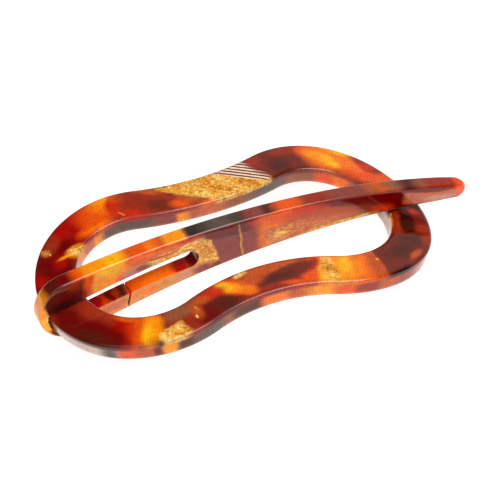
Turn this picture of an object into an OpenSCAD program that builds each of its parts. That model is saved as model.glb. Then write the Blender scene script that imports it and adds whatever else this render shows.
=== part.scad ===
// Hair slide of two pieces cut from sheet: an arched, peanut-shaped frame and
// the stick that is threaded on its left bar and lies over its right bar.
// Millimetres. X runs along the slide to the stick's tip, Y across it, Z up.
// The origin is on the table under the middle of the slide.

/* [Sheet] */
// Thickness of the sheet that both pieces are cut from
sheet_t = 4.3; // [3.8:0.1:4.8]

/* [Frame] */
// Length of the frame along its curved top
frame_len = 98.6; // [96:0.2:101]
// Width of the frame's band, seen from above
band_w = 10; // [9:0.25:11]
// Half width of the frame at its waist
waist_half = 23.2; // [22:0.1:23.7]
// Radius of the two ends, seen from above
end_arc = 30; // [29:0.25:32]
// Radius of the four shoulders, seen from above
shoulder_arc = 24.7; // [24.4:0.1:25.5]
// How far each shoulder's centre lies from the middle line
shoulder_off = 2.7; // [2.2:0.1:3.2]
// Radius of the bow in the frame's top
bow_r = 195; // [185:1:205]
// Radius of the sharper bow at the right end
droop_r = 110; // [105:1:130]
// Where the sharper bow starts, along the top from the middle
droop_from = 17; // [15:0.5:22]

/* [Stick] */
// Middle of the stick's thickness, across the slide
stick_y = -1.15; // [-3:0.05:3]
// Height of the stick's top edge over the frame's, in the middle
stick_rise = 5.75; // [5:0.05:6.5]
// Radius of the stick's top edge, left of its bend
top_r = 240; // [225:1:260]
// Where the top edge starts to bend more
top_bend_x = 16; // [12:0.5:20]
// Radius of the top edge, right of its bend
top_end_r = 184; // [176:1:186]
// Radius of the stick's lower edge
under_r = 210; // [205:1:216]
// Where the lower edge is highest
under_x = 22; // [20:0.5:24]
// Radius of the stick's tip, seen from the front
tip_r = 1.85; // [1.7:0.02:2.1]
// Radius of the stick's tip, seen from above
tip_plan_r = 2.5; // [2.3:0.05:3]
// Where the round left end of the stick starts on its top edge
bight_from = -44.2; // [-44.8:0.05:-43.8]

/* [Slot] */
// Clearance between the two pieces
gap = 0.18; // [0.14:0.01:0.22]
// Where the slot's rounded right end has its centre
slot_end_x = -13; // [-16:0.5:-10]
// Width of the cut through the slot's lower arm
cut_w = 0.35; // [0.3:0.05:0.8]
// Where that cut meets the slot
cut_x = -28; // [-31:0.5:-24]
// Lean of that cut from upright, in degrees
cut_lean = 12.7; // [0:0.1:16]

/* [Hidden] */
$fn = 240;

deg = 180 / PI;
half = frame_len / 2;
frame_reach = 60;  // more than the frame measures in any direction
over = 30;         // height over and under the frame that the cutters reach
blend = 0.004;     // arcs that join smoothly overlap by this, so that they cross cleanly
function dir(a) = [sin(a), cos(a)];
function unit(v) = v / norm(v);

// The frame's top seen from the front: [x, z] at distance s along it, at depth d
droop_a = droop_from / bow_r * deg;
bow_c = [0, -bow_r];
droop_c = bow_c + (bow_r - droop_r) * dir(droop_a);
function slope(s) = s <= droop_from
    ? s / bow_r * deg
    : droop_a + (s - droop_from) / droop_r * deg;
function at(s, d = 0) = s <= droop_from
    ? bow_c + (bow_r - d) * dir(slope(s))
    : droop_c + (droop_r - d) * dir(slope(s));

// The frame's outline: end arcs, shoulder arcs and waist arcs meet without a kink
arc_step = end_arc - shoulder_arc;
shoulder_a = asin(shoulder_off / arc_step);
shoulder_s = half - end_arc + arc_step * cos(shoulder_a);
shoulder_x = -at(-shoulder_s)[0];
frame_half_w = shoulder_off + shoulder_arc;
waist_in = frame_half_w - waist_half;
waist_arc = (pow(waist_in, 2) + pow(shoulder_x, 2)) / (2 * waist_in) - shoulder_arc;
waist_c = waist_half + waist_arc;
// The upright walls end in a sharper arc, further in, that the leaning walls cut
waist_x = shoulder_x - sheet_t / 2;
waist_end_arc = (pow(waist_x, 2) / waist_in + waist_in) / 2 - waist_arc;

// The slot and the stick's slide share one centre, so the bar keeps its clearance
slide_c = [11, -206];
bar_gap = 1.3 * gap;    // clearance at the slot's left end
function turn(p) = atan2(slide_c[0] - p[0], p[1] - slide_c[1]);
function reach(p) = norm(p - slide_c);
roof_r = max(reach(at(-half)), reach(at(band_w - half))) + gap;
floor_r = min(reach(at(-half, sheet_t)), reach(at(band_w - half, sheet_t))) - gap;
slot_h = roof_r - floor_r;
slot_a0 = max(turn(at(-half)), turn(at(-half, sheet_t))) + bar_gap / floor_r * deg;
slot_a1 = asin((slide_c[0] - slot_end_x) / (roof_r - slot_h / 2));

// The stick's edges, each [x, z] of an arc's centre
top_c = [-3, stick_rise - top_r];
top_bend_a = asin((top_bend_x - top_c[0]) / top_r);
top_end_c = top_c + (top_r - top_end_r) * dir(top_bend_a);
// the lower edge passes just over the inner corner of the frame's right bar
rest = at(half - band_w) + [0, gap];
under_c = [under_x, rest[1] - sqrt(pow(under_r, 2) - pow(rest[0] - under_x, 2))];
// centre of a circle of radius r2 about c2 meeting one of radius r1 about c1
function meet(c1, r1, c2, r2) = let (
    d = norm(c2 - c1),
    a = (pow(r1, 2) - pow(r2, 2) + pow(d, 2)) / (2 * d),
    u = (c2 - c1) / d
) c1 + a * u + sqrt(pow(r1, 2) - pow(a, 2)) * [-u[1], u[0]];
tip_c = meet(top_end_c, top_end_r - tip_r, under_c, under_r + tip_r);
tip_cut = 0.12;  // the rounding seen from above takes this much off the tip's end
// the left end is one arc that touches both edges
bight_way = unit([bight_from - top_c[0], sqrt(pow(top_r, 2) - pow(bight_from - top_c[0], 2))]);
bight_off = (pow(top_r + under_r, 2) - pow(norm(under_c - top_c), 2))
    / (2 * (top_r + under_r - bight_way * (under_c - top_c)));
bight_r = top_r - bight_off;
bight_c = top_c + bight_off * bight_way;
// where the end arcs touch the long edges
up_touch = bight_c + bight_r * bight_way;
low_touch = bight_c - bight_r * unit(bight_c - under_c);
tip_up_touch = tip_c + tip_r * unit(tip_c - top_end_c);
tip_low_touch = tip_c - tip_r * unit(tip_c - under_c);

// The slide stands on the stick's left end and on the frame's right end
foot = at(half, sheet_t);
foot_way = foot - bight_c;
rest_tilt = asin(bight_r / norm(foot_way)) + atan2(foot_way[1], foot_way[0]);
function rested(p) = [
    p[0] * cos(rest_tilt) + p[1] * sin(rest_tilt),
    p[1] * cos(rest_tilt) - p[0] * sin(rest_tilt)
];
left_x = rested(bight_c)[0] - bight_r;
right_x = rested(tip_c)[0] + tip_r - tip_cut;
mid_x = (left_x + right_x) / 2;
lift = -rested(foot)[1];

module placed() {
    translate([-mid_x, 0, lift]) rotate([0, rest_tilt, 0]) children();
}

// Turns a drawing of the front view into a body along Y
module along_y(depth, middle = 0) {
    translate([0, middle + depth / 2, 0]) rotate([90, 0, 0])
        linear_extrude(height = depth) children();
}

// All that lies under an arc about c1, up to angle a, and a sharper one about c2
module under_arcs(c1, r1, a, c2, r2) {
    intersection() {
        translate(c1) circle(r = r1);
        polygon([c1, c1 + 1.2 * r1 * dir(-30), c1 + 1.2 * r1 * dir(a)]);
    }
    translate(c2) circle(r = r2 + blend);
}

// The frame's sheet, bowed but not yet cut out
module bowed_sheet() {
    along_y(2 * frame_reach) intersection() {
        difference() {
            under_arcs(bow_c, bow_r, droop_a, droop_c, droop_r);
            under_arcs(bow_c, bow_r - sheet_t, droop_a, droop_c, droop_r - sheet_t);
        }
        translate([-frame_reach, -over]) square([2 * frame_reach, 2 * over]);
    }
}

// A pair of shoulders of the line that lies inset from the frame's outline
module shoulders(x, arc, inset) {
    for (side = [-1, 1])
        translate([x, side * (frame_half_w - arc)]) circle(r = arc - inset + blend);
}

// All inside that line between the shoulders, with upright walls
module waist(inset) {
    arc_y = frame_half_w - waist_end_arc;
    linear_extrude(height = 2 * over, center = true) {
        difference() {
            polygon([[waist_x, -arc_y], [waist_x, arc_y], [0, waist_c],
                [-waist_x, arc_y], [-waist_x, -arc_y], [0, -waist_c]]);
            for (side = [-1, 1])
                translate([0, side * waist_c]) circle(r = waist_arc + inset);
        }
        for (end = [-1, 1]) shoulders(end * waist_x, waist_end_arc, inset);
    }
}

// All inside that line at one end, with walls square to the bowed sheet's end
module lobe(way, inset) {
    end = at(way * half);
    seam = 2 * end_arc * [cos(shoulder_a), sin(shoulder_a)];
    translate([end[0], 0, end[1]]) rotate([0, way * slope(way * half), way < 0 ? 180 : 0])
        linear_extrude(height = 2 * over, center = true) {
            shoulders(shoulder_s - half, shoulder_arc, inset);
            translate([-end_arc, 0]) intersection() {
                circle(r = end_arc - inset);
                polygon([[0, 0], [seam[0], -seam[1]], seam]);
            }
        }
}

module outline(inset) {
    waist(inset);
    lobe(-1, inset);
    lobe(1, inset);
}

module frame() {
    color("#7a2410") placed() difference() {
        intersection() {
            bowed_sheet();
            outline(0);
        }
        outline(band_w);
    }
}

// The long body of the stick between its two end arcs
module stick_body() {
    difference() {
        intersection() {
            under_arcs(top_c, top_r, top_bend_a, top_end_c, top_end_r);
            polygon([[low_touch[0], -over], low_touch, up_touch, [up_touch[0], over],
                [tip_up_touch[0], over], tip_up_touch, tip_low_touch,
                [tip_low_touch[0], -over]]);
        }
        translate(under_c) circle(r = under_r);
    }
}

module stick_outline() {
    stick_body();
    translate(tip_c) circle(r = tip_r + blend);
    translate(bight_c) circle(r = bight_r + blend);
}

module slot() {
    mid_r = roof_r - slot_h / 2;
    intersection() {
        translate(slide_c) difference() {
            circle(r = roof_r);
            circle(r = floor_r);
        }
        polygon([slide_c, slide_c + 1.2 * roof_r * dir(-slot_a0),
            slide_c + 1.2 * roof_r * dir(-slot_a1)]);
    }
    translate(slide_c + mid_r * dir(-slot_a1)) circle(r = slot_h / 2 + blend);
}

// The cut that lets the lower arm be bent open over the frame's bar
module arm_cut() {
    cut_z = slide_c[1] + sqrt(pow(floor_r, 2) - pow(slide_c[0] - cut_x, 2));
    depth = bight_r;
    translate([cut_x, cut_z]) rotate(-cut_lean)
        translate([-cut_w / 2, -depth]) square([cut_w, depth + slot_h / 2]);
}

// What the rounding of the tip, seen from above, takes off
module tip_corners() {
    round_x = tip_r - tip_cut - tip_plan_r;
    slope = (atan2(tip_c[0] - top_end_c[0], tip_c[1] - top_end_c[1])
        + atan2(tip_c[0] - under_c[0], tip_c[1] - under_c[1])) / 2;
    translate([tip_c[0], stick_y, tip_c[1]]) rotate([0, slope, 0])
        linear_extrude(height = over, center = true) difference() {
            translate([round_x, -sheet_t]) square([over, 2 * sheet_t]);
            translate([round_x, 0]) circle(r = tip_plan_r);
        }
}

module stick() {
    color("#b8501a") placed() difference() {
        along_y(sheet_t, stick_y) difference() {
            stick_outline();
            slot();
            arm_cut();
        }
        tip_corners();
    }
}

frame();
stick();
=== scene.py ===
"""Hair slide of cellulose acetate: a bowed, peanut-shaped frame and the stick threaded on it.

Millimetres are used for every size and pattern, and turned into metres in one place.
"Ring frame" below means the frame's own axes: X along the slide, Y across it, Z up,
with the origin on the middle of the bowed top. rest_points() lays it on the table.
"""

import math

import bpy
import numpy as np
from mathutils import Matrix


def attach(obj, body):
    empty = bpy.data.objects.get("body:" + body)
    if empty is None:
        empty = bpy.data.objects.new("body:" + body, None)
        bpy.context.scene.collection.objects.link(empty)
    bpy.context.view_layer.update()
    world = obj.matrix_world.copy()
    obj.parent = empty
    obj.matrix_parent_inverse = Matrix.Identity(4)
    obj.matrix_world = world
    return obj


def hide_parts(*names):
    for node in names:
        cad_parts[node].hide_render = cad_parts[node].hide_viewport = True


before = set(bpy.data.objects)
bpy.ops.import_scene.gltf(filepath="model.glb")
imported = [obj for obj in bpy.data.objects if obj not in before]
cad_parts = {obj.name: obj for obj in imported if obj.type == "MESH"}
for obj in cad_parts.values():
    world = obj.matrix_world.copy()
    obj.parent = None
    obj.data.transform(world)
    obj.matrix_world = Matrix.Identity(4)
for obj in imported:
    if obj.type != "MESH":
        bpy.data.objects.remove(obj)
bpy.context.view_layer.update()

bl_info = {
    "name": "Acetate hair slide",
    "version": (1, 0, 0),
    "blender": (4, 5, 0),
    "location": "3D View > Sidebar > Hair Slide",
    "description": "Builds the polished frame and stick of a tortoiseshell hair slide",
    "category": "Object",
}

MM = 0.001
TAU = 2 * math.pi
ACETATE_IOR = 1.49
IMAGE_WIDTH = 500  # pixels

# Sizes that the frame and the stick share with the part, in millimetres
SHEET = 4.3
HALF = 49.3
BAND = 10.0
WAIST_HALF = 23.2
END_ARC = 30.0
SHOULDER_ARC = 24.7
SHOULDER_OFF = 2.7
BOW_R, DROOP_R, DROOP_FROM = 195.0, 110.0, 17.0
STICK_Y = -1.15
REST_TILT = math.radians(1.09705)
REST_SHIFT = (-4.31796, 13.0866)
BOW_C = np.array([0.0, -BOW_R])
DROOP_A = DROOP_FROM / BOW_R
DROOP_C = BOW_C + (BOW_R - DROOP_R) * np.array([math.sin(DROOP_A), math.cos(DROOP_A)])

# The stick's edges in the ring frame's X and Z: each arc's centre and radius
TOP_C, TOP_R = np.array([-3.0, -234.25]), 240.0
TOP_BEND_X = 16.0
TOP_END_R = 184.0
UNDER_C, UNDER_R = np.array([22.0, -214.056]), 210.0
TIP_C, TIP_R = np.array([58.0368, -5.29381]), 1.85
TIP_LONG, TIP_WIDE, TIP_CUT, TIP_SLOPE = 3.2, 2.2, 0.12, math.radians(13.95)
BIGHT_C, BIGHT_R = np.array([-42.8082, -5.79985]), 8.10743
SLIDE_C = np.array([11.0, -206.0])
ROOF_R, FLOOR_R = 208.611, 203.8  # each 0.12 nearer to the bar than the part's
SLOT_A0, SLOT_A1 = math.radians(16.7676), math.radians(6.68373)
CUT_X, CUT_W, CUT_LEAN = -28.0, 0.35, math.radians(12.7)

# How the surfaces are divided and drawn in, in steps and millimetres
CORNER_STEPS, SIDE_STEPS = 8, 5      # on the frame's section
ROUND_STEPS, THICK_STEPS = 7, 5      # on the stick's edge and through its thickness
DRAW_IN = 2.5                        # how far a corner of the stick draws its points together
TIP_TAPER = 7.0                      # length over which the tip is drawn back
FACE_RIM = 1.1                       # the flat rim round a face, as a share of its rounding
SAME_WAY = 0.995                     # cosine above which two sides meet without a corner


def linear(hex_code):
    """sRGB hex to the linear RGB that a shader takes."""
    values = (int(hex_code[i:i + 2], 16) / 255 for i in (0, 2, 4))
    return tuple(v / 12.92 if v <= 0.04045 else ((v + 0.055) / 1.055) ** 2.4 for v in values)


# ---------------------------------------------------------------- the colours of the block
# Tortoiseshell acetate is cut from a block pressed together from coloured chips, so each
# cloud has one of a few colours, with a crisp rim where two chips were cut and a soft one
# where they flowed. Three more are mixed from these: "shell" is the gold pearl chip of mica
# flakes, "grain" a redder pearl and "ruled" a pearl whose flakes lie in straight rows.
CHIPS = {
    "night": ("2e0402", "Darkest red-brown, nearly black"),
    "bottle": ("32281c", "Black with a green cast"),
    "umber": ("561909", "Dark brown of the cloud rims"),
    "chestnut": ("742310", "Red-brown of the large dark clouds"),
    "oxblood": ("6c0302", "Dark red"),
    "cherry": ("a60a02", "Deep red"),
    "russet": ("9a2a10", "Red-brown"),
    "scarlet": ("cc2a03", "Red going to orange"),
    "rust": ("c04e16", "Orange-brown"),
    "flame": ("ea5205", "Orange-red"),
    "ember": ("ff4a06", "Bright orange-red, lit from behind"),
    "orange": ("f87407", "Orange"),
    "amber": ("ff9408", "Amber"),
    "sun": ("ffb40e", "Yellow"),
    "honey": ("cf8c3c", "Tan gold"),
    "coral": ("c86038", "Pinkish orange"),
    "apricot": ("de8844", "Pale orange"),
    "rosewood": ("8c3c31", "Clear pinkish brown"),
    "walnut": ("945231", "Grey-brown"),
    "smoke": ("5e4b42", "Clear grey-brown"),
    "blush": ("c88872", "Clear pink seen through an edge"),
    "mist": ("d6b7a6", "Clear pale pink-grey seen through an edge"),
    "cream": ("ffe2c4", "Pale light along a cut edge"),
    "gap": ("a44e10", "Shade between the pearl flakes"),
    "gold": ("e6901a", "Pearl chip between its flakes"),
    "flake": ("fbd878", "Pearl flakes that catch the light"),
}


# ---------------------------------------------------------------- the shapes
def bowed(s, d):
    """Ring-frame X and Z of a point at distance s along the bowed top and depth d under it.

    Formula: the point lies on the radius of an arc of 195 mm up to 17 mm right of the
    middle, and on the radius of an arc of 110 mm that carries on from there."""
    s, d = np.broadcast_arrays(np.asarray(s, float), np.asarray(d, float))
    left = s <= DROOP_FROM
    angle = np.where(left, s / BOW_R, DROOP_A + (s - DROOP_FROM) / DROOP_R)
    radius = np.where(left, BOW_R, DROOP_R) - d
    cx = np.where(left, BOW_C[0], DROOP_C[0])
    cz = np.where(left, BOW_C[1], DROOP_C[1])
    return cx + radius * np.sin(angle), cz + radius * np.cos(angle)


def rest_points(x, y, z):
    """Ring-frame points in mm to row-frame points in metres: a turn about Y, then a shift."""
    c, s = math.cos(REST_TILT), math.sin(REST_TILT)
    return np.stack([(x * c + z * s + REST_SHIFT[0]) * MM, y * MM,
                     (z * c - x * s + REST_SHIFT[1]) * MM], axis=-1)


def arc(centre, radius, start, stop, step):
    """Points and outward normals on an arc, from angle start to stop, without its last point."""
    count = max(2, int(math.ceil(abs(stop - start) * radius / step)))
    a = start + (stop - start) * np.arange(count) / count
    n = np.stack([np.cos(a), np.sin(a)], axis=-1)
    return np.asarray(centre) + radius * n, n


def frame_outline(step):
    """The frame's outer edge laid flat, as points and outward normals, anticlockwise.

    Formula: eight arcs a side of the two mirror lines, of 30 mm at the ends, 24.7 mm at
    the shoulders and 44.8 mm, curved the other way, at the waist, each tangent to the next."""
    gap = END_ARC - SHOULDER_ARC
    a_end = math.asin(SHOULDER_OFF / gap)
    shoulder_s = HALF - END_ARC + gap * math.cos(a_end)
    rise = SHOULDER_OFF + SHOULDER_ARC - WAIST_HALF
    waist_r = (rise ** 2 + shoulder_s ** 2) / (2 * rise) - SHOULDER_ARC
    waist_y = WAIST_HALF + waist_r
    a_waist = math.asin(shoulder_s / (waist_r + SHOULDER_ARC))
    quarter = math.pi / 2
    points, normals = [], []
    for turn in (0, 1):
        flip = -1 if turn else 1
        for centre, radius, start, stop, side in (
            ((HALF - END_ARC, 0), END_ARC, -a_end, a_end, 1),
            ((shoulder_s, SHOULDER_OFF), SHOULDER_ARC, a_end, quarter + a_waist, 1),
            ((0, waist_y), waist_r, a_waist - quarter, -a_waist - quarter, -1),
            ((-shoulder_s, SHOULDER_OFF), SHOULDER_ARC, quarter - a_waist, math.pi - a_end, 1),
        ):
            p, n = arc(centre, radius, start, stop, step)
            points.append(p * flip)
            normals.append(n * side * flip)
    return np.concatenate(points), np.concatenate(normals)


def rounded_rect(width, height, across, down, corner, flat):
    """A rectangle with quarter ellipses for corners: its points (inset, depth), clockwise
    from the top's outer edge; corner and flat are the steps on each corner and side."""
    a = np.linspace(0, math.pi / 2, corner + 1)
    corners = [((width - across, down), -math.pi / 2), ((width - across, height - down), 0),
               ((across, height - down), math.pi / 2), ((across, down), math.pi)]
    out = []
    for (cx, cy), start in corners:
        out.append(np.stack([cx + across * np.cos(start + a), cy + down * np.sin(start + a)], -1))
    sides = []
    for i in range(4):
        here, there = out[i], out[(i + 1) % 4]
        t = np.arange(1, flat) / flat
        sides.append(here)
        sides.append(here[-1] + t[:, None] * (there[0] - here[-1]))
    return np.concatenate(sides)


def frame_surface(band, step, edge_w, edge_r):
    """The frame: a rounded rectangle, 10 x 4.3 mm, carried round the closed outline.

    Formula: point(u, v) = bowed(outline(u) - inset(v) * normal(u), depth(v)). The flat
    place, how far a point looks sideways, and its depth are kept for the finish."""
    edge, normal = frame_outline(step)
    section = rounded_rect(band, SHEET, edge_w, edge_r, CORNER_STEPS, SIDE_STEPS)
    inset, depth = section[:, 0], section[:, 1]
    flat = edge[:, None, :] - inset[None, :, None] * normal[:, None, :]
    x, z = bowed(flat[..., 0], np.broadcast_to(depth, flat.shape[:2]))
    points = rest_points(x, flat[..., 1], z)
    nu, nv = points.shape[:2]
    i, j = np.meshgrid(np.arange(nu), np.arange(nv), indexing="ij")
    a, b = (i * nv + j), (i * nv + (j + 1) % nv)
    c, d = ((i + 1) % nu * nv + (j + 1) % nv), ((i + 1) % nu * nv + j)
    faces = np.stack([a, d, c, b], -1).reshape(-1, 4)
    sideways = np.clip(np.maximum(edge_w - inset, inset - band + edge_w) / edge_w, 0, 1)
    maps = {"sheet": flat.reshape(-1, 2) / 100,
            "section": np.tile(np.stack([sideways, depth / 10], -1), (nu, 1))}
    return points.reshape(-1, 3), faces.tolist(), maps


def unit(v):
    return v / np.linalg.norm(v)


def angle_of(p, centre):
    return math.atan2(p[1] - centre[1], p[0] - centre[0])


def on_circle(centre, radius, p, way):
    """Where the line through p along way meets the circle, at the meeting nearest to p."""
    q = p - centre
    b = q @ way
    root = math.sqrt(b * b - (q @ q - radius * radius))
    return p + min(-b - root, -b + root, key=abs) * way


def arc_piece(centre, radius, start, stop, side, rounding, step):
    """An arc's points without its last, with normals out of the stick on that side of it."""
    count = max(4, int(abs(stop - start) * radius / step))
    a = start + (stop - start) * np.arange(count + 1) / count
    n = np.stack([np.cos(a), np.sin(a)], -1)
    return np.asarray(centre) + radius * n, side * n, rounding


def wall_piece(p, q, rounding, step):
    """A straight wall from p to q, with the normals on its right."""
    count = max(2, int(np.linalg.norm(q - p) / step))
    way = unit(q - p)
    t = np.arange(count + 1)[:, None] / count
    return p + t * (q - p), np.tile([way[1], -way[0]], (count + 1, 1)), rounding


def stick_edge(step, edge_r, slot_r, cut_r):
    """The stick's closed edge, anticlockwise: points, the way each moves to be drawn in by
    its own rounding, and that rounding.

    Formula: arcs tangent to each other round the outside, then up the cut, round the slot
    between two arcs about one centre, and down the cut again. At a corner the way in
    solves n1.m = r1 and n2.m = r2 for the two sides' normals and roundings."""
    top_end_c = TOP_C + (TOP_R - TOP_END_R) * unit(np.array(
        [TOP_BEND_X - TOP_C[0], math.sqrt(TOP_R ** 2 - (TOP_BEND_X - TOP_C[0]) ** 2)]))
    bend = math.acos((TOP_BEND_X - TOP_C[0]) / TOP_R)
    way = np.array([-math.sin(CUT_LEAN), -math.cos(CUT_LEAN)])
    mouth = np.array([CUT_X, SLIDE_C[1] + math.sqrt(FLOOR_R ** 2 - (SLIDE_C[0] - CUT_X) ** 2)])
    side = np.array([math.cos(CUT_LEAN), -math.sin(CUT_LEAN)]) * CUT_W / 2
    low_r, low_l = (on_circle(UNDER_C, UNDER_R, mouth + k * side, way) for k in (1, -1))
    up_r, up_l = (on_circle(SLIDE_C, FLOOR_R, mouth + k * side, way) for k in (1, -1))
    q = math.pi / 2
    mid_r, half_h = (ROOF_R + FLOOR_R) / 2, (ROOF_R - FLOOR_R) / 2
    slot_end = SLIDE_C + mid_r * np.array([math.cos(q + SLOT_A1), math.sin(q + SLOT_A1)])
    corner = [SLIDE_C + r * np.array([math.cos(q + SLOT_A0), math.sin(q + SLOT_A0)])
              for r in (FLOOR_R, ROOF_R)]
    tip_low, tip_up = angle_of(TIP_C, UNDER_C) + math.pi, angle_of(TIP_C, top_end_c)
    up, low = angle_of(BIGHT_C, TOP_C), angle_of(BIGHT_C, UNDER_C) + math.pi
    under = (UNDER_C, UNDER_R)
    pieces = [
        arc_piece(*under, angle_of(low_r, UNDER_C), tip_low - math.pi, -1, edge_r, step),
        arc_piece(TIP_C, TIP_R, tip_low - TAU, tip_up, 1, edge_r, step / 3),
        arc_piece(top_end_c, TOP_END_R, tip_up, bend, 1, edge_r, step),
        arc_piece(TOP_C, TOP_R, bend, up, 1, edge_r, step),
        arc_piece(BIGHT_C, BIGHT_R, up, low, 1, edge_r, step),
        arc_piece(*under, low - math.pi, angle_of(low_l, UNDER_C), -1, edge_r, step),
        wall_piece(low_l, up_l, cut_r, step),
        arc_piece(SLIDE_C, FLOOR_R, angle_of(up_l, SLIDE_C), q + SLOT_A0, 1, slot_r, step),
        wall_piece(*corner, slot_r, step),
        arc_piece(SLIDE_C, ROOF_R, q + SLOT_A0, q + SLOT_A1, -1, slot_r, step),
        arc_piece(slot_end, half_h, q + SLOT_A1, SLOT_A1 - q, -1, slot_r, step / 2),
        arc_piece(SLIDE_C, FLOOR_R, q + SLOT_A1, angle_of(up_r, SLIDE_C), 1, slot_r, step),
        wall_piece(up_r, low_r, cut_r, step),
    ]
    corners = []
    for k, (_, n, r) in enumerate(pieces):
        before, r0 = pieces[k - 1][1][-1], pieces[k - 1][2]
        corners.append(n[0] * r if before @ n[0] > SAME_WAY else
                       np.linalg.solve(np.array([before, n[0]]), np.array([r0, r])))
    points, ways, rounds = [], [], []
    for k, (p, n, r) in enumerate(pieces):
        # near a corner the points draw together, so that the drawn-in edge doesn't fold
        s = np.r_[0, np.cumsum(np.linalg.norm(np.diff(p, axis=0), axis=1))]
        reach = min(DRAW_IN, s[-1] / 2)
        first = np.clip(1 - s / reach, 0, 1)[:, None] * (corners[k] - n[0] * r)
        last = np.clip(1 - (s[-1] - s) / reach, 0, 1)[:, None] \
            * (corners[(k + 1) % len(pieces)] - n[-1] * r)
        points.append(p[:-1])
        ways.append((n * r + first + last)[:-1])
        rounds.append(np.r_[(r + pieces[k - 1][2]) / 2, np.full(len(p) - 2, r)])
    return np.concatenate(points), np.concatenate(ways), np.concatenate(rounds)


def stick_surface(step, edge_r, slot_r, cut_r):
    """The stick: its closed edge drawn in by a rounded profile from the front face to the back.

    Formula: point(u, v) = edge(u) - inset(v) * way_in(u) in X and Z, while Y goes through
    the thickness by quarter circles of the rounding at each face; two flat faces close it.
    The last 7 mm are drawn back towards the faces, so the tip is a half ellipse from above."""
    loop, way_in, rounding = stick_edge(step, edge_r, slot_r, cut_r)
    a = np.linspace(0, math.pi / 2, ROUND_STEPS)
    side = np.linspace(0, 1, THICK_STEPS)[1:-1]
    # inset and depth as shares of the rounding, with the face's own flat rim first
    inset = np.concatenate([[FACE_RIM], 1 - np.sin(a), 0 * side, (1 - np.sin(a))[::-1],
                            [FACE_RIM]])
    sunk = np.concatenate([[0.0], 1 - np.cos(a), 0 * side + 1, (1 - np.cos(a))[::-1], [0.0]])
    share = np.concatenate([[0.0], 0 * a, side, 0 * a + 1, [1.0]])
    front = STICK_Y - SHEET / 2
    r = rounding[:, None]
    xz = loop[:, None] - inset[None, :, None] * way_in[:, None]
    y = front + np.where(share < 0.5, sunk, -sunk) * r * (np.abs(share - 0.5) > 0.49) \
        + share * SHEET
    inside = (share > 0) & (share < 1)
    y[:, inside] = (front + r) + share[inside] * (SHEET - 2 * r)
    axis = np.array([math.cos(TIP_SLOPE), -math.sin(TIP_SLOPE)])
    near = np.clip(((xz - TIP_C) @ axis + TIP_TAPER) / TIP_TAPER, 0, 1)
    back = TIP_CUT + TIP_LONG * (1 - np.sqrt(1 - ((y - STICK_Y) / TIP_WIDE) ** 2))
    xz = xz - (near ** 2 * (3 - 2 * near) * back)[..., None] * axis
    points = rest_points(xz[..., 0], y, xz[..., 1])
    nu, nv = points.shape[:2]
    i, j = np.meshgrid(np.arange(nu), np.arange(nv - 1), indexing="ij")
    k = (i + 1) % nu
    faces = np.stack([i * nv + j, i * nv + j + 1, k * nv + j + 1, k * nv + j], -1).reshape(-1, 4)
    faces = faces.tolist()
    faces.append((np.arange(nu) * nv).tolist())
    faces.append((np.arange(nu)[::-1] * nv + nv - 1).tolist())
    y = np.broadcast_to(y, xz.shape[:2])
    facing = np.clip(np.maximum(front + r - y, y - front - SHEET + r) / r, 0, 1)
    maps = {"sheet": xz.reshape(-1, 2) / 100,
            "section": np.stack([np.sqrt(1 - facing ** 2), (y - front) / 10], -1).reshape(-1, 2)}
    return points.reshape(-1, 3), faces, maps


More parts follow.
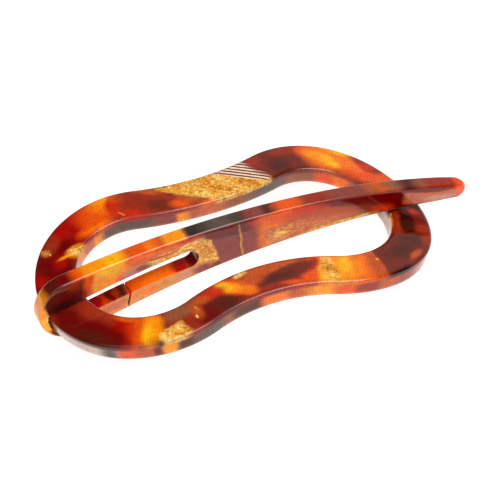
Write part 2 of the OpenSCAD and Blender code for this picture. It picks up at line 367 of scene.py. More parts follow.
# ---------------------------------------------------------------- where the colours lie
# A cloud is (colour, place along, place across, half length, half width, turn in degrees,
# softness of its rim as a share of its size), in millimetres on the flat sheet, and later
# ones lie over earlier ones. A name that starts with "block " has square corners.
FRAME_TOP = [
    # far side, from the left end
    ("oxblood", -43, 6, 9, 7, 70, .5), ("cherry", -46.5, 8, 2.2, 5, 10, .6),
    ("oxblood", -41, 14, 5, 4, 45, .5), ("cherry", -40, 11.5, 2, 1.5, 45, .7),
    ("cherry", -35, 20, 7.5, 5.5, 55, .5), ("oxblood", -37, 16.3, 3, 1.8, 20, .6),
    ("russet", -39.6, 18.6, 1.8, 3, -40, .5), ("scarlet", -28.6, 22.5, 3, 4.6, 30, .6),
    ("flame", -26.4, 22, 4, 5.6, -10, .6), ("flame", -29.6, 18.4, 3.2, 1.6, 16, .6),
    ("orange", -28, 18, 3, .9, 6, .6), ("orange", -25, 25, 2.2, 3, 0, .6),
    ("amber", -23, 26.6, 2.8, 1.6, 0, .6), ("scarlet", -21.6, 23, 2, 3.6, -20, .5),
    ("flame", -19.8, 25, 2.2, 1.6, -40, .5), ("russet", -13.5, 21.5, 7.5, 5, -35, .4),
    ("chestnut", -11.5, 17.5, 3.8, 1.8, -30, .6), ("rust", -13, 23.8, 3.4, 1, -40, .6),
    ("scarlet", -19, 18, 3, 1.4, -30, .7), ("flame", -7, 15.8, 2.6, 1.6, -20, .6),
    ("rust", -4.6, 16.8, 3, 1.5, -40, .6), ("umber", -5.9, 19.3, 9.5, .45, -42.5, .6),
    ("amber", -35.2, 13.2, 2, 1.9, -14, .5), ("amber", -37, 13.2, 2.6, .5, 8, .6),
    ("shell", -34.6, 13.6, 2.9, 1.5, 2, .4),
    ("orange", 5, 13.6, 9, 1.6, 6, .5), ("block shell", 4.3, 19.4, 15, 6.9, -38, .1),
    ("block ruled", 8.8, 23.2, 10, 3.1, -33, .12),
    # far side, right
    ("block chestnut", 22.4, 21, 5.8, 8, 0, .22), ("chestnut", 17, 21, 3, 6, 35, .4),
    ("russet", 15, 23.2, 1.7, 2.2, 20, .6),
    ("russet", 24.5, 25.4, 4, 1.6, 0, .7), ("umber", 20.5, 20, 2.6, 3, 0, .7),
    ("russet", 29.5, 18.5, 2.2, 3, 40, .5), ("flame", 29.6, 24, 3, 2.8, 70, .5),
    ("orange", 34.2, 20.5, 5.4, 6.8, 50, .35), ("amber", 30.7, 21.8, 2.6, 1.5, -35, .5),
    ("amber", 33, 20, 3.8, 1.8, -50, .6), ("sun", 33.9, 18.5, 2.8, 1.7, -60, .6),
    ("amber", 35.5, 24, 3, 1.5, -35, .5), ("sun", 38.2, 22.7, 2.6, 2, -35, .4),
    ("flame", 41, 13, 6, 4, -25, .4), ("russet", 43.5, 16.6, 5, 3.4, -55, .35),
    ("orange", 37.4, 17, 1.6, 3.6, 40, .6), ("scarlet", 41.8, 15.8, 1.8, 1.6, 0, .6),
    ("umber", 46.8, 16.3, 1, 5.4, 27, .6), ("flame", 46, 11.5, 4, 1.4, 10, .5),
    # right end
    ("oxblood", 44, -1, 8, 7, 90, .3), ("oxblood", 47.2, -4, 2, 5.5, 0, .5),
    ("night", 41.8, -8, 2.3, 4.8, -15, .4), ("scarlet", 45.4, -2.8, 1, 1.8, 40, .5),
    ("russet", 38.8, -7.6, 1.1, 5, -28, .5), ("shell", 38.2, -6.6, .4, 2.6, -22, .6),
    ("block chestnut", 37, -19.5, 9.3, 7.6, 0, .06), ("umber", 40, -14.6, 4, 2.4, 0, .7),
    ("umber", 35, -18.5, 4.5, 2.4, 25, .7), ("russet", 45, -14.5, 1.8, 4, -30, .7),
    ("rust", 38, -20.4, 2.4, .7, 38, .7), ("night", 32, -26.3, 4, 1.1, 22, .6),
    # near side, right
    ("block flame", 19.4, -22, 8.3, 7, 0, .12), ("rust", 26, -22, 1.9, 6, 3, .5),
    ("orange", 22, -21.5, 2.8, 5.6, -8, .6), ("amber", 16.5, -22, 5.6, 5, 60, .5),
    ("sun", 19.4, -20.3, 1.6, 3, -15, .6), ("sun", 14.2, -23, 2, 2, 0, .6),
    ("shell", 14.9, -20.8, 1.5, 3.6, -4, .9), ("shell", 15.9, -21.3, .8, 5.6, -4, .5),
    ("scarlet", 11.8, -18.3, 1.3, 3.6, -35, .6), ("flame", 10, -22, 2, 1.8, 20, .6),
    # near side, middle
    ("rust", 2.5, -15, 7.5, 2.2, -3, .4), ("chestnut", 5.2, -18.8, 8, 2.4, 12, .25),
    ("umber", 3, -19.2, 4, 1.2, 5, .7), ("russet", 2, -22, 3.8, .9, 0, .6),
    ("flame", 6.5, -22.5, 3, .8, -12, .6),
    ("umber", -12, -22, 5.4, 3, 12, .6), ("flame", -7.8, -18, 5, 2.6, -38, .4),
    ("orange", -5.8, -19.8, 3, 2, -40, .4),
    ("amber", -8.6, -17.8, 2.5, 1.6, -40, .5), ("sun", -9.7, -16.9, 2.1, 1.4, -40, .5),
    ("rust", -3, -17, 2.6, 2.2, 0, .6), ("shell", -5, -14.6, 1.9, .8, 15, .5),
    ("scarlet", -13, -17.6, 2.8, 1.6, 10, .6),
    ("oxblood", -16.6, -23.8, 3, 3.6, 0, .5), ("rust", -16.5, -18.4, 2, 1.3, 0, .6),
    ("walnut", -22.5, -19.6, 4.4, 2.2, 5, .5), ("umber", -30, -25.6, 1, 1.8, 20, .6),
    # near side, left
    ("flame", -29, -18.6, 1.6, 2.8, 60, .5), ("amber", -30.6, -21.4, 5, 2.7, 62, .45),
    ("sun", -31.6, -22.2, 2.6, 1.3, 65, .6), ("flame", -34, -21.2, 5, 1.5, 62, .7),
    ("scarlet", -35.8, -19.8, 5.4, 1.6, 60, .8), ("cherry", -37.8, -18.4, 6.4, 1.8, 58, .7),
    ("amber", -28.4, -24.6, 1.6, 2, 20, .7), ("block shell", -26, -25.6, 3.5, 2.5, 14, .3),
    ("oxblood", -41.8, -15, 9.5, 3.5, -62, .4),
    ("umber", -43.4, -15.5, 7, 2, -58, .8), ("oxblood", -45.6, -6.5, 3, 4.5, 10, .5),
    ("flame", -33.5, -15.4, 3.6, .8, -45, .6),
    # flecks of pearl
    ("shell", -42.2, 18, .5, .2, 20, .6), ("shell", -41, 16, .2, .4, 0, .6),
    ("honey", -41.8, 17, .9, .9, 0, .9), ("block honey", -21.2, 19.1, .9, .16, -60, .5),
    ("rust", -18.8, -21.6, 1.2, 2.4, 10, .8), ("shell", -18.5, -20.6, .3, .7, 10, .6),
    ("shell", -19.3, -23.2, .25, .5, 0, .6), ("shell", 27.5, -20.7, .3, .25, 0, .5),
]
# Colours down the frame's cut walls, where light from the far side shows through
FRAME_WALL = [
    # outside, near
    ("mist", -44.5, -14, 8, 10, 0, .4), ("smoke", -41.3, -21, 1.8, 2.5, 0, .7),
    ("flame", -37.4, -23.6, 2.2, 3, 0, .5), ("rust", -33.6, -25.6, 2.5, 3, 0, .5),
    ("oxblood", -31, -26.6, 1, 3, 0, .6), ("amber", -28, -27.2, 1.9, 3, 0, .5),
    ("umber", -24, -27.2, 2.2, 3, 0, .6), ("smoke", -17, -26.3, 5.2, 3, 0, .4),
    ("walnut", -11, -24.6, 3, 3, 0, .6), ("umber", -6, -23.6, 4.8, 3, 0, .4),
    ("orange", .8, -23.4, 3.6, 3, 0, .4), ("rust", 6.6, -24.2, 2.6, 3, 0, .6),
    ("amber", 12, -25.4, 4, 3, 0, .6), ("flame", 18, -27, 3.4, 3, 0, .7),
    ("russet", 22.6, -27.3, 3, 3, 0, .5), ("rust", 29, -27, 3.2, 3, 0, .5),
    ("russet", 34.4, -25.4, 3, 3.4, 0, .6), ("coral", 42.4, -18, 7, 8.4, 0, .4),
    # inside, far
    ("blush", -35.4, 10.5, 3, 5, 0, .5), ("amber", -34, 13.4, 2, 1.6, 0, .5),
    ("coral", -31, 15.6, 2.4, 3, 0, .6), ("amber", -28.4, 16.9, 1.5, 2, 0, .6),
    ("smoke", -20.5, 16.6, 7, 3.4, 0, .35), ("rosewood", -11, 14.7, 2.4, 2.4, 0, .4),
    ("amber", -7.4, 14, 1.6, 2, 0, .5), ("coral", 0, 13.3, 5.6, 2.2, 0, .5),
    ("walnut", 7.6, 13.7, 4.6, 2.4, 0, .6), ("smoke", 17, 16.2, 7, 3.6, 14, .5),
    ("walnut", 25, 17.2, 4.4, 2.6, 0, .6), ("flame", 31.4, 15.6, 2.6, 3, 0, .6),
    ("orange", 34.6, 13.4, 1.8, 2.6, 0, .5), ("walnut", 37.6, 9.4, 1.6, 3.4, 0, .5),
    ("mist", 38.8, -5, 2, 7, 0, .5),
    # outside, far
    ("russet", -40, 19, 7, 7, 40, .5), ("flame", -27, 26.6, 5, 4, 0, .5),
    ("rosewood", -13, 25.2, 7, 4, -20, .5), ("honey", 1, 23.4, 8, 3, 0, .3),
    ("rosewood", 20, 26, 8, 3, 0, .5), ("apricot", 34, 25.6, 6, 4, -20, .5),
    ("coral", 45.6, 16, 5, 8, 30, .5), ("blush", 49, 2, 2, 9, 0, .5),
    # inside, near
    ("walnut", -37.6, -8, 2.4, 7, 0, .5), ("apricot", -31, -16, 3.6, 3, -40, .5),
    ("smoke", -22.4, -17.4, 5.4, 2, 0, .5), ("apricot", -9, -15.2, 4, 2, 20, .5),
    ("coral", 2, -13.4, 6, 2, 0, .5), ("rosewood", 11, -15.2, 3.6, 2, -20, .5),
    ("apricot", 18.6, -17, 4.6, 2, 0, .5), ("smoke", 30, -16, 5, 3, 30, .5),
]
# The stick's flat faces: place along and height
STICK_FACE = [
    # left end, dark, and the amber beside it
    ("amber", -33.4, 1.4, 6.6, 6, 0, .3), ("sun", -33, 2.8, 3.2, 1.4, 6, .7),
    ("flame", -38.4, .6, 1.4, 5.4, -10, .5), ("flame", -29.4, -.2, 2.4, 1, 20, .6),
    ("block umber", -45.6, .8, 6, 6.6, -8, .16), ("oxblood", -43.4, -3, 4.4, 2.6, 12, .4),
    ("night", -44.5, -3.6, 4, 1.4, 14, .7), ("night", -44, 3.2, 4, .7, 14, .7),
    ("rosewood", -45.6, .8, 3.6, .35, 14, .8), ("russet", -41.6, 1.6, 1.8, 1.6, 0, .7),
    # over the slot
    ("flame", -25, 4.2, 4, 3, 0, .5), ("orange", -20, 4.6, 7, 1.6, 0, .6),
    ("block shell", -16, .3, 9, 3, 7, .25), ("block shell", -9.2, .2, 3.9, 5, 22, .14),
    ("blush", -26.8, .2, 3, 1.2, 8, .6), ("rosewood", -24.6, .5, 2.2, .8, 8, .7),
    ("scarlet", -20.4, 2.2, 3.8, .28, 4, .7), ("flame", -17, 5, 9, 1.1, 2, .5),
    ("scarlet", -12.6, 5.2, 3.6, 1, -2, .6),
    # middle
    ("block rosewood", 0, -1, 6, 8, 14, .06), ("oxblood", -1, 4.4, 9, 2.1, 0, .2),
    ("cherry", 4.6, 4, 2, 1.4, 0, .8), ("honey", .4, -.2, .26, 5, 5, .8),
    # right of the middle
    ("block rust", 14, 0, 8.6, 7, 0, .12), ("orange", 8.2, 1, 3, 6, 0, .7),
    ("flame", 11, 3.8, 6, 1.6, -4, .6), ("block grain", 12.8, -1.6, 6.6, 2.8, 0, .2),
    ("shell", 11.6, -1, 2.8, 1.2, 0, .9),
    ("scarlet", 18.6, 3, 5, 1.3, -8, .7), ("coral", 25, -1.8, 6.6, 2, -10, .6),
    ("grain", 20, -2, 5, 1.6, -5, .7), ("shell", 25, -3.5, 10, .55, 0, .6),
    ("rust", 24, .8, 6, 1, -10, .7),
    ("oxblood", 33.5, 1.8, 13, 2.1, -11, .35), ("oxblood", 41, -3.4, 8, 3.6, -38, .2),
    ("scarlet", 37, -2.9, 2.8, 1.1, -15, .8),
    # tip
    ("block coral", 52.6, -3.6, 10, 2.7, -13, .12), ("blush", 52, -4.8, 4, .7, -14, .8),
    ("oxblood", 48, -1, 11, 1, -14.5, .4), ("ember", 57.4, -3.5, 1.8, .8, -30, .6),
    # outside the frame's left end, and the arm under the slot
    ("amber", -50.2, -6, 1.5, 5.6, 14, .3), ("sun", -49.2, -8.4, 1.4, 2.4, 30, .5),
    ("block apricot", -24, -7.5, 15.5, 2.6, 9, .12), ("honey", -20, -6.4, 8, .9, 9, .6),
    ("orange", -23.6, -6.8, 2.6, .8, 9, .7), ("coral", -32.5, -8.4, 4.4, 1.4, 12, .6),
    ("blush", -13, -5, 3.4, .7, 10, .7), ("rosewood", -9.4, -5, 2.6, 1.5, 0, .5),
]
# The stick's narrow faces: the top, the end walls, and the slot's floor and roof
STICK_EDGE = [
    ("block umber", -46, 0, 5.4, 8, 0, .25), ("oxblood", -43.6, 4, 2.4, 4, 0, .8),
    ("flame", -39.8, 4, 2, 4, 0, .8), ("block amber", -33.4, 5, 5.7, 4, 0, .3),
    ("sun", -31.5, 5, 2.4, 3, 0, .8), ("flame", -23.6, 5.6, 4.8, 3, 0, .5),
    ("orange", -22, 5.6, 1.2, 3, 0, .8), ("amber", -15.8, 5.8, 2.8, 3, 0, .35),
    ("block bottle", -1.6, 5.8, 11.2, 3.4, 0, .12), ("smoke", -4.2, 5.8, 3.6, 3, 0, .9),
    ("rosewood", 4.6, 5.8, 2.6, 3, 0, .9), ("umber", 8.8, 5.8, 1.8, 3, 0, .8),
    ("flame", 13.2, 5.8, 3.6, 3, 0, .5),
    ("russet", 21, 5.4, 4.4, 3.4, 0, .5), ("rosewood", 29, 4, 5, 3.4, 0, .6),
    ("rust", 36.6, 2.6, 2.4, 4, 0, .9), ("umber", 44.4, .6, 2.2, 3.4, 0, .9),
    ("russet", 53, -2.6, 6, 3, 0, .5),
    ("ember", 58, -4.6, 1.6, 2, 0, .8),
    ("amber", -50, -7, 3, 7, 0, .3), ("amber", -46, -14, 6, 4, -20, .3),
    # painted light: the slot's floor is bright orange-red for light coming through the acetate,
    # and the soft orange row along its middle is a painted highlight
    ("block ember", -21, -4.9, 7.8, 1.8, 8, .2), ("orange", -21, -4.9, 5, .8, 8, .9),
    ("cherry", -14.6, -3.9, 1.8, 1.6, 0, .6), ("oxblood", -11.6, -2, 1.5, 3, 0, .5),
    ("ember", -34, -7.6, 5, 1.5, 12, .4), ("cherry", -36, -8, 2, .8, 12, .6),
    ("oxblood", -32.4, -6.9, 1.4, .5, 20, .8), ("umber", -29.8, -6, 1.5, .8, 0, .9),
    # painted highlight: the pale line along the front edge of the slot's roof
    ("block cream", -25, -.9, 14, .9, 9, .4),
    ("honey", -22, -9.6, 18, 1.6, 12, .4), ("honey", 20, -4.6, 22, 1.4, 0, .5),
]


# ---------------------------------------------------------------- the shader
def add(tree, kind, links=None, **settings):
    """Adds one node: settings are its own properties, links maps an input to a socket or value."""
    node = tree.nodes.new(kind)
    for key, value in settings.items():
        setattr(node, key, value)
    for key, value in (links or {}).items():
        if hasattr(value, "is_output"):
            tree.links.new(value, node.inputs[key])
        else:
            node.inputs[key].default_value = value
    return node


def mix(tree, share, a, b, blend="MIX"):
    """The colour a with b laid over it by a share."""
    return add(tree, "ShaderNodeMix", {0: share, 6: a, 7: b},
               data_type="RGBA", blend_type=blend, clamp_factor=True).outputs[2]


def clouds(tree, place, base, rows, colours):
    """Lays soft-rimmed clouds over a base colour.

    Formula: a Mapping node turns and scales the place so that the cloud's rim is at
    distance 1 from its middle, and the cover falls from 1 to 0 across the rim. A hundred
    millionth of the colour so far is added to the place, which moves nothing, but has the
    renderer work the clouds out one after another: all at once, they overfill its stack."""
    colour = base
    for name, along, across, half_long, half_wide, turn, soft in rows:
        block = name.startswith("block ")
        at = place if colour is base else add(
            tree, "ShaderNodeVectorMath", {0: colour, 1: (1e-8, 1e-8, 1e-8), 2: place},
            operation="MULTIPLY_ADD").outputs[0]
        at = add(tree, "ShaderNodeMapping", {
            "Vector": at, "Location": (along, across, 0),
            "Rotation": (0, 0, math.radians(turn)), "Scale": (half_long, half_wide, 1),
        }, vector_type="TEXTURE").outputs[0]
        if block:
            at = add(tree, "ShaderNodeVectorMath", {0: at, 1: at}, operation="MULTIPLY").outputs[0]
            at = add(tree, "ShaderNodeVectorMath", {0: at, 1: at}, operation="MULTIPLY").outputs[0]
            soft = 3 * soft
        far = add(tree, "ShaderNodeVectorMath", {0: at}, operation="LENGTH").outputs["Value"]
        cover = add(tree, "ShaderNodeMapRange", {
            "Value": far, "From Min": 1 + soft, "From Max": max(1 - soft, 0),
        }, interpolation_type="SMOOTHSTEP").outputs[0]
        colour = mix(tree, cover, colour, colours[name.split()[-1]])
    return colour


def acetate(name, chips, base, face_rows, edge_rows, row_turn, skin, foot_glow, ripple):
    """Cellulose acetate sheet, sawn from a pressed tortoiseshell block, tumbled and hand
    polished: clear deep colours under a wet gloss (IOR 1.49), clouds with rims that the
    saw left crisp or the press left soft, pearl chips of mica flakes in rows, and a polish
    that isn't dead flat.

    row_turn is how the flakes and flow lines lie, in degrees. skin is the depth in
    millimetres at which a wall takes the edge's colours, foot_glow how far a wall's foot is
    paled towards cream, a painted glow of the light from the table below, and ripple how strong
    the flow lines are."""
    material = bpy.data.materials.new(name)
    material.use_nodes = True
    tree = material.node_tree
    tree.nodes.clear()
    colours = {key: (*getattr(chips, key), 1.0) for key in CHIPS}

    # place on the sheet, in millimetres, with the depth as its third coordinate
    flat = add(tree, "ShaderNodeUVMap", uv_map="sheet").outputs[0]
    section = add(tree, "ShaderNodeUVMap", uv_map="section").outputs[0]
    wall, depth = add(tree, "ShaderNodeSeparateXYZ", {0: section}).outputs[:2]
    along, across = add(tree, "ShaderNodeSeparateXYZ", {0: flat}).outputs[:2]
    solid = add(tree, "ShaderNodeCombineXYZ", {0: along, 1: across, 2: depth}).outputs[0]
    solid = add(tree, "ShaderNodeVectorMath", {0: solid, 1: (100, 100, 10)},
                operation="MULTIPLY").outputs[0]

    # chips flow under the press: their rims wander by 0.5 mm in waves of about 4 mm
    flow = add(tree, "ShaderNodeTexNoise", {"Vector": solid, "Scale": 0.26, "Detail": 3.0,
                                            "Roughness": 0.55}).outputs["Color"]
    drift = add(tree, "ShaderNodeVectorMath", {0: flow, 1: (0.5, 0.5, 0.5)},
                operation="SUBTRACT").outputs[0]
    drift = add(tree, "ShaderNodeVectorMath", {0: drift, 1: (1.5, 1.5, 0)},
                operation="MULTIPLY").outputs[0]
    place = add(tree, "ShaderNodeVectorMath", {0: solid, 1: drift}, operation="ADD").outputs[0]
    place = add(tree, "ShaderNodeVectorMath", {0: place, 1: (1, 1, 0)},
                operation="MULTIPLY").outputs[0]

    # pearl: flakes about 1.1 mm long and 0.7 mm wide that lie one way, with finer glints on
    # them, in patches of brighter and darker sheen. Real flakes are finer: these are drawn as
    # coarse as they need to be to show. The ruled kind lies in straight rows 1.1 mm apart
    turned = add(tree, "ShaderNodeMapping", {
        "Vector": solid, "Rotation": (0, 0, math.radians(row_turn))}).outputs[0]
    flat_flakes = add(tree, "ShaderNodeMapping", {"Vector": turned, "Scale": (1.2, 2.0, 2.0)})
    flakes = add(tree, "ShaderNodeTexNoise", {"Vector": flat_flakes.outputs[0], "Scale": 0.75,
                                              "Detail": 3.0, "Roughness": 0.75}).outputs["Fac"]
    sheen = add(tree, "ShaderNodeTexNoise", {"Vector": flat_flakes.outputs[0], "Scale": 0.14,
                                             "Detail": 1.0}).outputs["Fac"]
    flakes = add(tree, "ShaderNodeMath", {0: sheen, 1: 0.5, 2: flakes},
                 operation="MULTIPLY_ADD").outputs[0]
    flakes = add(tree, "ShaderNodeMath", {0: flakes, 1: 0.25}, operation="SUBTRACT").outputs[0]
    bright = add(tree, "ShaderNodeMapRange", {"Value": flakes, "From Min": 0.47,
                                              "From Max": 0.62}).outputs[0]
    dark = add(tree, "ShaderNodeMapRange", {"Value": flakes, "From Min": 0.44,
                                            "From Max": 0.3}).outputs[0]
    colours["shell"] = mix(tree, dark, mix(tree, bright, colours["gold"], colours["flake"]),
                           colours["gap"])
    colours["grain"] = mix(tree, dark, mix(tree, bright, colours["coral"], colours["apricot"]),
                           colours["rust"])
    rows = add(tree, "ShaderNodeTexWave", {
        "Vector": turned, "Scale": 0.29, "Distortion": 0.5, "Detail": 1.0,
        "Detail Scale": 1.6}, bands_direction="Y").outputs["Fac"]
    rows = add(tree, "ShaderNodeMapRange", {"Value": rows, "From Min": 0.35,
                                            "From Max": 0.7}).outputs[0]
    colours["ruled"] = mix(tree, rows, colours["chestnut"], colours["cream"])

    face = clouds(tree, place, colours[base], face_rows, colours)
    edge = clouds(tree, place, colours["walnut"], edge_rows, colours)
    # painted light: towards its foot a wall is paled towards cream, a painted glow of the light
    # from the table below
    pale = add(tree, "ShaderNodeMapRange", {"Value": depth, "From Min": (2.4 + skin) / 10,
                                            "From Max": (4.2 + skin) / 10,
                                            "To Max": foot_glow}).outputs[0]
    edge = mix(tree, pale, edge, colours["cream"])
    share = add(tree, "ShaderNodeMapRange", {"Value": depth, "From Min": skin / 10,
                                             "From Max": (skin + 0.9) / 10},
                interpolation_type="SMOOTHSTEP").outputs[0]
    share = add(tree, "ShaderNodeMath", {0: wall, 1: share}, operation="MULTIPLY").outputs[0]
    colour = mix(tree, share, face, edge)

    # fish scale: fine flow lines 0.8 mm apart, broken into cells of about the same size,
    # lighter and darker by a few hundredths, over slow unevenness
    lines = add(tree, "ShaderNodeTexWave", {
        "Vector": turned, "Scale": 0.40, "Distortion": 3.6, "Detail": 2.0, "Detail Scale": 0.5,
    }, bands_direction="X").outputs["Fac"]
    lines = add(tree, "ShaderNodeMapRange", {"Value": lines, "To Min": 1 - ripple,
                                             "To Max": 1 + ripple}).outputs[0]
    cells = add(tree, "ShaderNodeTexVoronoi", {"Vector": solid, "Scale": 1.25,
                                               "Randomness": 0.8}).outputs["Distance"]
    cells = add(tree, "ShaderNodeMapRange", {"Value": cells, "From Min": 0.1, "From Max": 0.7,
                                             "To Min": 1.06, "To Max": 0.92}).outputs[0]
    lines = add(tree, "ShaderNodeMath", {0: lines, 1: cells}, operation="MULTIPLY").outputs[0]
    # painted shade: the polished edge and the wall's top, down to a millimetre or so below it, are
    # darkened by up to about a fifth, standing in for the dark line that refraction draws along
    # the edges
    rim = add(tree, "ShaderNodeMapRange", {"Value": depth, "From Min": (skin - 0.1) / 10,
                                           "From Max": (skin + 1.1) / 10, "To Min": -0.22,
                                           "To Max": 0.0}).outputs[0]
    rim = add(tree, "ShaderNodeMath", {0: wall, 1: rim, 2: 1.0},
              operation="MULTIPLY_ADD").outputs[0]
    lines = add(tree, "ShaderNodeMath", {0: lines, 1: rim}, operation="MULTIPLY").outputs[0]
    uneven = add(tree, "ShaderNodeTexNoise", {"Vector": solid, "Scale": 0.55, "Detail": 4.0,
                                              "Roughness": 0.6}).outputs["Fac"]
    uneven = add(tree, "ShaderNodeMapRange", {"Value": uneven, "From Min": 0.3, "From Max": 0.7,
                                              "To Min": 0.86, "To Max": 1.16}).outputs[0]
    tone = add(tree, "ShaderNodeMath", {0: lines, 1: uneven}, operation="MULTIPLY").outputs[0]
    tone = add(tree, "ShaderNodeCombineXYZ", {0: tone, 1: tone, 2: tone}).outputs[0]
    colour = mix(tree, 1.0, colour, tone, "MULTIPLY")

    # the polish follows the hand: waves of 3 to 6 mm, a few hundredths deep
    swell = add(tree, "ShaderNodeTexNoise", {"Vector": solid, "Scale": 0.28,
                                             "Detail": 1.0}).outputs["Fac"]
    bump = add(tree, "ShaderNodeBump", {"Height": swell, "Strength": 1.0,
                                        "Distance": chips.wave * MM}).outputs[0]
    shader = add(tree, "ShaderNodeBsdfPrincipled", {
        "Base Color": colour, "Roughness": chips.gloss, "IOR": ACETATE_IOR,
        "Normal": bump}).outputs[0]
    add(tree, "ShaderNodeOutputMaterial", {"Surface": shader})
    return material


def finished(name, points, faces, maps, material, node, body):
    """Makes the mesh with its UV maps and finish, and says which node and body it belongs to."""
    mesh = bpy.data.meshes.new(name)
    mesh.from_pydata(points.tolist(), [], faces)
    mesh.polygons.foreach_set("use_smooth", [True] * len(mesh.polygons))
    index = np.zeros(len(mesh.loops), np.int32)
    mesh.loops.foreach_get("vertex_index", index)
    for key, values in maps.items():
        layer = mesh.uv_layers.new(name=key)
        layer.data.foreach_set("uv", values[index].astype(np.float32).ravel())
    mesh.materials.append(material)
    mesh.update()
    obj = bpy.data.objects.new(name, mesh)
    bpy.context.scene.collection.objects.link(obj)
    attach(obj, body)
    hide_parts(node)


# ---------------------------------------------------------------- what a user would change
def millimetres(name, default, description):
    return bpy.props.FloatProperty(name=name, description=description, default=default * MM,
                                   min=0.0, precision=5, subtype="DISTANCE", unit="LENGTH")


class HAIRSLIDE_PG_frame(bpy.types.PropertyGroup):
    """Sizes of the frame"""
    band: millimetres("Band width", BAND, "Width of the frame's band across its top")
    edge_width: millimetres("Edge width", 1.1, "Width of the polished edge across the top")
    edge_depth: millimetres("Edge depth", 0.5, "Depth of the polished edge down the wall")
    step: millimetres("Mesh step", 0.45, "Distance between the mesh's sections")


class HAIRSLIDE_PG_stick(bpy.types.PropertyGroup):
    """Sizes of the stick"""
    rounding: millimetres("Edge rounding", 0.7, "Radius that the polish leaves on the edges")
    slot_rounding: millimetres("Slot rounding", 0.16, "Radius on the slot's edges")
    cut_rounding: millimetres("Cut rounding", 0.16, "Radius on the saw cut's edges")
    step: millimetres("Mesh step", 0.6, "Distance between the mesh's sections")


class HAIRSLIDE_PG_acetate(bpy.types.PropertyGroup):
    """Colours and finish of the acetate block"""
    __annotations__ = {
        key: bpy.props.FloatVectorProperty(
            name=key.capitalize(), description=text, subtype="COLOR", size=3, min=0.0, max=1.0,
            default=linear(code))
        for key, (code, text) in CHIPS.items()
    } | {
        "gloss": bpy.props.FloatProperty(
            name="Gloss roughness", description="Roughness of the polished surface",
            default=0.05, min=0.0, max=1.0, subtype="FACTOR"),
        "wave": bpy.props.FloatProperty(
            name="Polish waves", description="Depth in millimetres of the polish's waves",
            default=0.05, min=0.0, max=1.0),
    }


class HAIRSLIDE_PG_stage(bpy.types.PropertyGroup):
    """Floor and light"""
    floor: bpy.props.FloatVectorProperty(
        name="Floor", description="Colour of the plain floor", subtype="COLOR", size=3,
        min=0.0, max=1.0, default=linear("a0a0a0"))
    table: bpy.props.FloatProperty(
        name="Table light", description="Strength of the light table's own light", default=0.92)
    fill: bpy.props.FloatProperty(
        name="Fill light", description="Strength of the light from all round", default=0.04)
    overhead: bpy.props.FloatProperty(
        name="Overhead light", description="Strength of the soft box above", default=0.88)
    strip: bpy.props.FloatProperty(
        name="Strip light", description="Strength of the small box over the camera", default=6.5)
    back: bpy.props.FloatProperty(
        name="Back light", description="Strength of the soft box behind, to the right",
        default=0.32)


# ---------------------------------------------------------------- operators
class HAIRSLIDE_OT_frame(bpy.types.Operator):
    """Build the bowed, peanut-shaped frame with its rounded edges and finish"""
    bl_idname = "hairslide.frame"
    bl_label = "Build the frame"

    def execute(self, context):
        sizes, chips = context.scene.hair_slide_frame, context.scene.hair_slide_acetate
        points, faces, maps = frame_surface(sizes.band / MM, sizes.step / MM,
                                            sizes.edge_width / MM, sizes.edge_depth / MM)
        material = acetate("tortoiseshell_acetate_frame", chips, "russet", FRAME_TOP,
                           FRAME_WALL, row_turn=33, skin=0.8, foot_glow=0.4, ripple=0.07)
        finished("frame_acetate_ring", points, faces, maps, material,
                 "frame", "frame")
        return {"FINISHED"}


class HAIRSLIDE_OT_stick(bpy.types.Operator):
    """Build the slotted stick with its saw cut, rounded edges and finish"""
    bl_idname = "hairslide.stick"
    bl_label = "Build the stick"

    def execute(self, context):
        sizes, chips = context.scene.hair_slide_stick, context.scene.hair_slide_acetate
        points, faces, maps = stick_surface(sizes.step / MM, sizes.rounding / MM,
                                            sizes.slot_rounding / MM, sizes.cut_rounding / MM)
        material = acetate("tortoiseshell_acetate_stick", chips, "chestnut", STICK_FACE,
                           STICK_EDGE, row_turn=12, skin=-2.0, foot_glow=0.0, ripple=0.02)
        finished("stick_acetate_blade", points, faces, maps, material,
                 "stick", "stick")
        return {"FINISHED"}


def photograph_camera():
    """The camera, placed in the ring frame and laid on the table with it.

    Formula: it stands 972 mm from its aim, 22.2 degrees left of square on and 39.9 degrees
    up, rolled by -1.9 degrees, with a lens of 4179 pixels for an image of 500."""
    azimuth, height, roll = (math.radians(v) for v in (-22.203, 39.855, -1.948))
    distance, focal, aim = 972.2, 4179.2, np.array([-1.798, -13.842, 5.795])
    back = np.array([math.sin(azimuth) * math.cos(height),
                     -math.cos(azimuth) * math.cos(height), math.sin(height)])
    level = np.array([math.cos(azimuth), math.sin(azimuth), 0])
    up = np.cross(back, level)
    axes = (level * math.cos(roll) + up * math.sin(roll),
            up * math.cos(roll) - level * math.sin(roll), back)
    origin = rest_points(*np.zeros(3))
    matrix = np.eye(4)
    matrix[:3, :3] = np.stack([(rest_points(*v) - origin) / MM for v in axes], axis=-1)
    matrix[:3, 3] = rest_points(*(aim + back * distance))
    data = bpy.data.cameras.new("camera")
    data.lens = data.sensor_width * focal / IMAGE_WIDTH
    data.clip_start, data.clip_end = 0.01, 20
    camera = bpy.data.objects.new("camera", data)
    bpy.context.scene.collection.objects.link(camera)
    camera.matrix_world = Matrix(matrix.tolist())
    bpy.context.scene.camera = camera


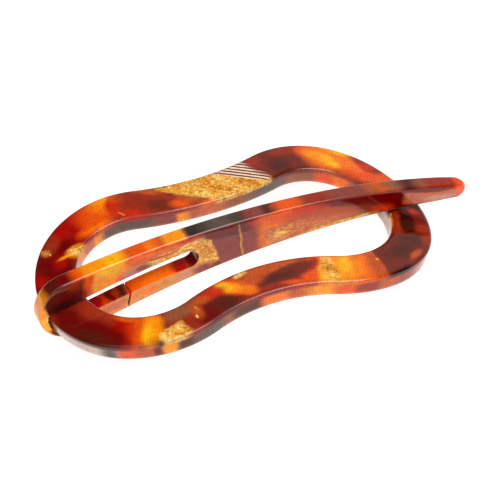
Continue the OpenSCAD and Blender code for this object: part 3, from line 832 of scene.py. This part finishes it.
def studio_light(fill, overhead, strip, back):
    """White light from all round, a wide soft box overhead, a smaller and stronger one over
    the camera that draws the lines on the edges, and a wide one behind on the right.

    Formula: a box's share falls smoothly from 1 to 0 as the direction leaves its middle,
    by the length of the difference of the two unit directions."""
    world = bpy.data.worlds.new("studio_light")
    bpy.context.scene.world = world
    world.use_nodes = True
    tree = world.node_tree
    way = add(tree, "ShaderNodeTexCoord").outputs["Generated"]
    total = fill
    for strength, middle, reach, soft in (
            (overhead, (-0.1, -0.28, 0.95), 0.72, 0.2),
            (strip, (0.2, -0.42, 0.88), 0.33, 0.35),
            (back, (0.62, 0.70, 0.30), 0.55, 0.35)):
        middle = np.array(middle) / np.linalg.norm(middle)
        off = add(tree, "ShaderNodeVectorMath", {0: way, 1: tuple(middle)},
                  operation="SUBTRACT").outputs[0]
        far = add(tree, "ShaderNodeVectorMath", {0: off}, operation="LENGTH").outputs["Value"]
        share = add(tree, "ShaderNodeMapRange", {
            "Value": far, "From Min": reach * (1 + soft), "From Max": reach * (1 - soft),
            "To Max": strength}, interpolation_type="SMOOTHSTEP").outputs[0]
        total = add(tree, "ShaderNodeMath", {0: total, 1: share}, operation="ADD").outputs[0]
    background = tree.nodes["Background"]
    background.inputs["Color"].default_value = (1, 1, 1, 1)
    tree.links.new(total, background.inputs["Strength"])


class HAIRSLIDE_OT_stage(bpy.types.Operator):
    """Lay the plain pale floor and set the soft light and the camera"""
    bl_idname = "hairslide.stage"
    bl_label = "Set the stage"

    def execute(self, context):
        stage = context.scene.hair_slide_stage
        mesh = bpy.data.meshes.new("floor")
        mesh.from_pydata([(-3, -3, 0), (3, -3, 0), (3, 3, 0), (-3, 3, 0)], [], [(0, 1, 2, 3)])
        floor = bpy.data.objects.new("floor", mesh)
        context.scene.collection.objects.link(floor)
        # opal acrylic of a light table: matt, lit from below as well, so shadows stay faint
        opal = bpy.data.materials.new("opal_acrylic_light_table")
        opal.use_nodes = True
        shader = opal.node_tree.nodes["Principled BSDF"]
        shader.inputs["Base Color"].default_value = (*stage.floor, 1)
        shader.inputs["Roughness"].default_value = 1.0
        shader.inputs["Specular IOR Level"].default_value = 0.0
        shader.inputs["Emission Color"].default_value = (1, 1, 1, 1)
        shader.inputs["Emission Strength"].default_value = stage.table
        mesh.materials.append(opal)
        studio_light(stage.fill, stage.overhead, stage.strip, stage.back)
        photograph_camera()
        context.scene.view_settings.view_transform = "Standard"
        return {"FINISHED"}


class HAIRSLIDE_PT_panel(bpy.types.Panel):
    """Hair slide"""
    bl_idname = "HAIRSLIDE_PT_panel"
    bl_label = "Hair slide"
    bl_space_type = "VIEW_3D"
    bl_region_type = "UI"
    bl_category = "Hair Slide"

    def draw(self, context):
        for group, operators in PANEL_ROWS:
            box = self.layout.box()
            settings = getattr(context.scene, group)
            for key in settings.__annotations__:
                box.prop(settings, key)
            for operator in operators:
                box.operator(operator.bl_idname)


PANEL_ROWS = (
    ("hair_slide_acetate", ()),
    ("hair_slide_frame", (HAIRSLIDE_OT_frame,)),
    ("hair_slide_stick", (HAIRSLIDE_OT_stick,)),
    ("hair_slide_stage", (HAIRSLIDE_OT_stage,)),
)
GROUPS = {
    "hair_slide_frame": HAIRSLIDE_PG_frame,
    "hair_slide_stick": HAIRSLIDE_PG_stick,
    "hair_slide_acetate": HAIRSLIDE_PG_acetate,
    "hair_slide_stage": HAIRSLIDE_PG_stage,
}
CLASSES = (*GROUPS.values(), HAIRSLIDE_OT_frame, HAIRSLIDE_OT_stick, HAIRSLIDE_OT_stage,
           HAIRSLIDE_PT_panel)


def register():
    for cls in CLASSES:
        bpy.utils.register_class(cls)
    for name, group in GROUPS.items():
        setattr(bpy.types.Scene, name, bpy.props.PointerProperty(type=group))


def unregister():
    for name in GROUPS:
        delattr(bpy.types.Scene, name)
    for cls in reversed(CLASSES):
        bpy.utils.unregister_class(cls)


def main():
    register()
    bpy.ops.hairslide.frame()
    bpy.ops.hairslide.stick()
    bpy.ops.hairslide.stage()


if __name__ == "__main__":
    main()
